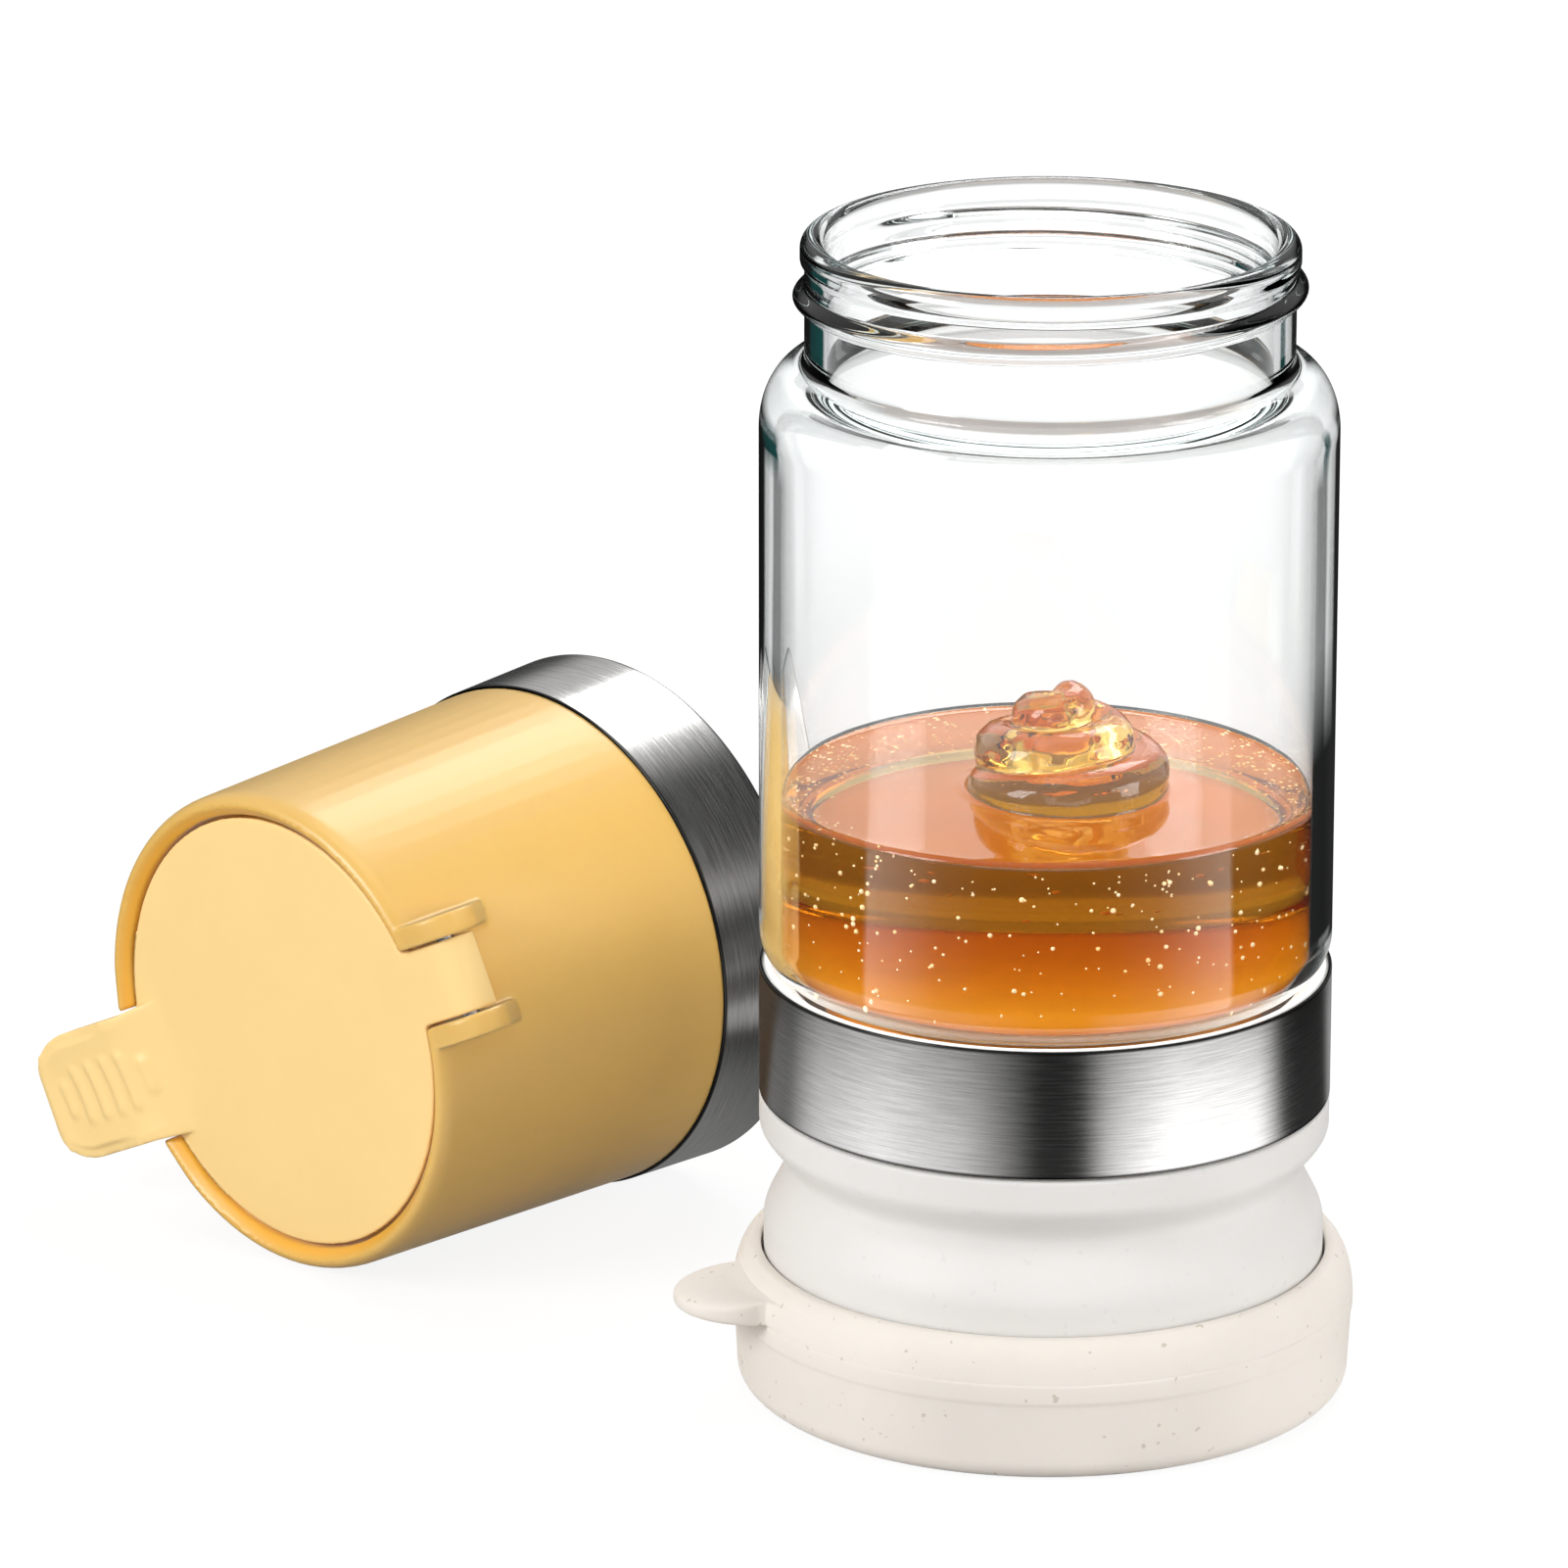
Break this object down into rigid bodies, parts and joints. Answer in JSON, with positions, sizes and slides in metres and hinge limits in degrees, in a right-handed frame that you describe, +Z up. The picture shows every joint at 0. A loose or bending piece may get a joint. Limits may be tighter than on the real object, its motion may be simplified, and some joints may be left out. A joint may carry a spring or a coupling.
{
  "type": "honey dispenser",
  "caption": "Glass squeeze honey dispenser: open screw-neck jar on a soft press bulb with peel-off base cover, tapered flip-lid cap taken off beside it.",
  "frame": {"origin": "centre of the base cover's underside, on the jar's axis", "axes": "+Z up along the jar's axis, +X to the right and +Y away from the viewer in the picture"},
  "size_m": [0.1525, 0.1305, 0.1328],
  "materials": {
    "glass": "clear polished",
    "white_plastic": "smooth",
    "brushed_steel": "brushed round",
    "clear_silicone": "satin",
    "white_silicone": "matte",
    "beige_silicone": "matte",
    "yellow_plastic": "satin",
    "lid_plastic": "satin",
    "pin_steel": "polished"
  },
  "bodies": {
    "cover": {"base_cover": "beige_silicone"},
    "bulb": {"squeeze_bulb": "white_silicone"},
    "jar": {"glass_jar": "glass", "base_collar": "white_plastic", "base_band": "brushed_steel", "base_gasket": "clear_silicone"},
    "cap": {"cap_shell": "yellow_plastic", "cap_band": "brushed_steel", "cap_funnel": "white_plastic", "cap_gasket": "clear_silicone", "outlet_valve": "clear_silicone", "valve_retainer": "white_plastic", "hinge_pin": "pin_steel"},
    "lid": {"flip_lid": "lid_plastic", "lid_plug": "clear_silicone"}
  },
  "joints": [
    {"name": "cover_pull_off", "type": "slide", "parent": "cover", "child": "bulb", "axis": [0, 0, 1], "range_m": [0, 0.03]},
    {"name": "bulb_press", "type": "slide", "parent": "bulb", "child": "jar", "axis": [0, 0, -1], "range_m": [0, 0.008], "stiffness_N_per_m": 1500, "springref_m": -0.003, "deforming": ["squeeze_bulb"]},
    {"name": "cap_lift", "type": "slide", "parent": "cover", "child": "cap", "axis": [0, 0, 1], "range_m": [0, 0.12]},
    {"name": "lid_hinge", "type": "hinge", "parent": "cap", "child": "lid", "pos_m": [-0.06626, 0.01749, 0.04148], "axis": [-0.3268, 0.2709, 0.9054], "range_deg": [0, 130]}
  ]
}
